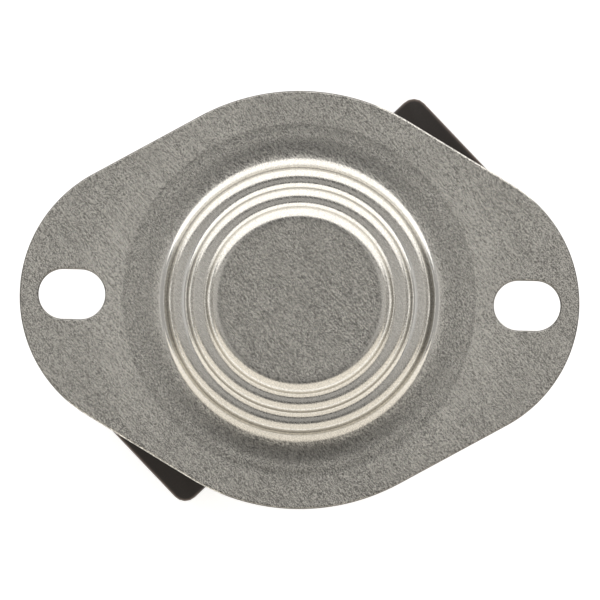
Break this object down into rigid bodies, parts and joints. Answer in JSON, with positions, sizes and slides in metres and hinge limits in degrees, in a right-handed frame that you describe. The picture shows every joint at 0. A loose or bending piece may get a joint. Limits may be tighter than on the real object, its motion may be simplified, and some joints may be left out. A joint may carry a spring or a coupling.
{
  "type": "cycling thermostat",
  "caption": "Bimetal disc cycling thermostat with a stepped aluminium sensing cup, an oval slotted flange, a phenolic switch case and a bias heater.",
  "frame": {"origin": "middle of the switch case's back face, under the sensing cup's axis", "axes": "+Z is the sensing direction, +X runs through the two mounting slots"},
  "size_m": [0.0604, 0.0452, 0.0214],
  "materials": {
    "aluminium_sheet": "mill finish with short diagonal rolling marks",
    "aluminium_ring": "mill finish",
    "phenolic": "moulded, matt brown-black",
    "phenolic_plate": "moulded, matt brown-black",
    "bimetal": "rolled strip",
    "ceramic": "unglazed",
    "terminal_metal": "tinned brass",
    "rivet_metal": "tinned brass",
    "contact_silver": "silver alloy",
    "spring_alloy": "copper alloy spring strip",
    "heater_coating": "cement coating",
    "lead_wire": "tinned copper wire"
  },
  "bodies": {
    "housing": {"flange_cup": "aluminium_sheet", "retaining_ring": "aluminium_ring", "switch_case": "phenolic", "guide_plate": "phenolic_plate", "bimetal_disc": "bimetal", "line_terminal_1": "terminal_metal", "line_terminal_2": "terminal_metal", "heater_terminal_1": "terminal_metal", "heater_terminal_2": "terminal_metal", "line_rivet_1": "rivet_metal", "line_rivet_2": "rivet_metal", "heater_rivet_1": "rivet_metal", "heater_rivet_2": "rivet_metal", "contact_plate": "terminal_metal", "fixed_contact": "contact_silver", "bias_heater": "heater_coating", "heater_lead_1": "lead_wire", "heater_lead_2": "lead_wire"},
    "pin": {"transfer_pin": "ceramic"},
    "arm": {"contact_arm": "spring_alloy", "moving_contact": "contact_silver"}
  },
  "joints": [
    {"name": "pin_slide", "type": "slide", "parent": "housing", "child": "pin", "axis": [0, 0, -1], "range_m": [0, 0.0006], "deforming": ["bimetal_disc"]},
    {"name": "arm_flex", "type": "hinge", "parent": "housing", "child": "arm", "pos_m": [-0.00868, -0.00434, 0.00901], "axis": [-0.447, 0.8946, 0], "range_deg": [0, 3.54], "stiffness_Nm_per_rad": 0.19, "springref_deg": -5.73}
  ],
  "couplings": [
    {"joint": "arm_flex", "follows": "pin_slide", "rad_per_m": 103.1}
  ]
}
